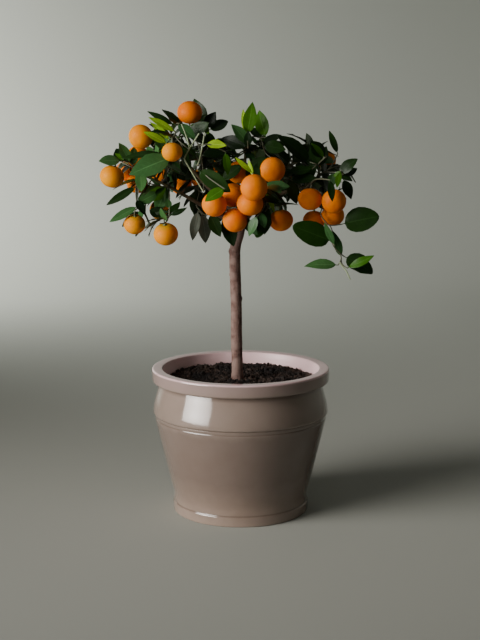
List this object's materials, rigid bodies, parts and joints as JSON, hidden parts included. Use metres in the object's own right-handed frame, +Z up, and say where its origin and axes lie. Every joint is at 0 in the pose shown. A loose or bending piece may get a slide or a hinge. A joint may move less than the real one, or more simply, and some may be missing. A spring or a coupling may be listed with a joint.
{
  "type": "potted mandarin orange tree",
  "caption": "Small mandarin orange tree on a bare stem with a broad fruiting crown, growing in a round glazed ceramic pot with a thick rim.",
  "frame": {"origin": "centre of the pot's flat underside", "axes": "+Z up along the pot's axis; -Y is the side the tree is seen from, +X to its right"},
  "size_m": [0.3975, 0.3205, 0.6114],
  "materials": {
    "pot": "glossy taupe glaze",
    "soil": "dark crumbly potting compost",
    "bark": "fine pinkish-brown bark",
    "foliage": "glossy dark green leaves"
  },
  "bodies": {
    "root": {"pot": "pot", "soil": "soil", "trunk": "bark", "bough_left_low": "bark", "bough_left_high": "bark", "bough_top": "bark", "bough_front": "bark", "bough_right": "bark", "bough_back_left": "bark", "bough_back_right": "bark", "foliage_left_low": "foliage", "foliage_left_high": "foliage", "foliage_top": "foliage", "foliage_front": "foliage", "foliage_right": "foliage", "foliage_back_left": "foliage", "foliage_back_right": "foliage"}
  },
  "joints": []
}
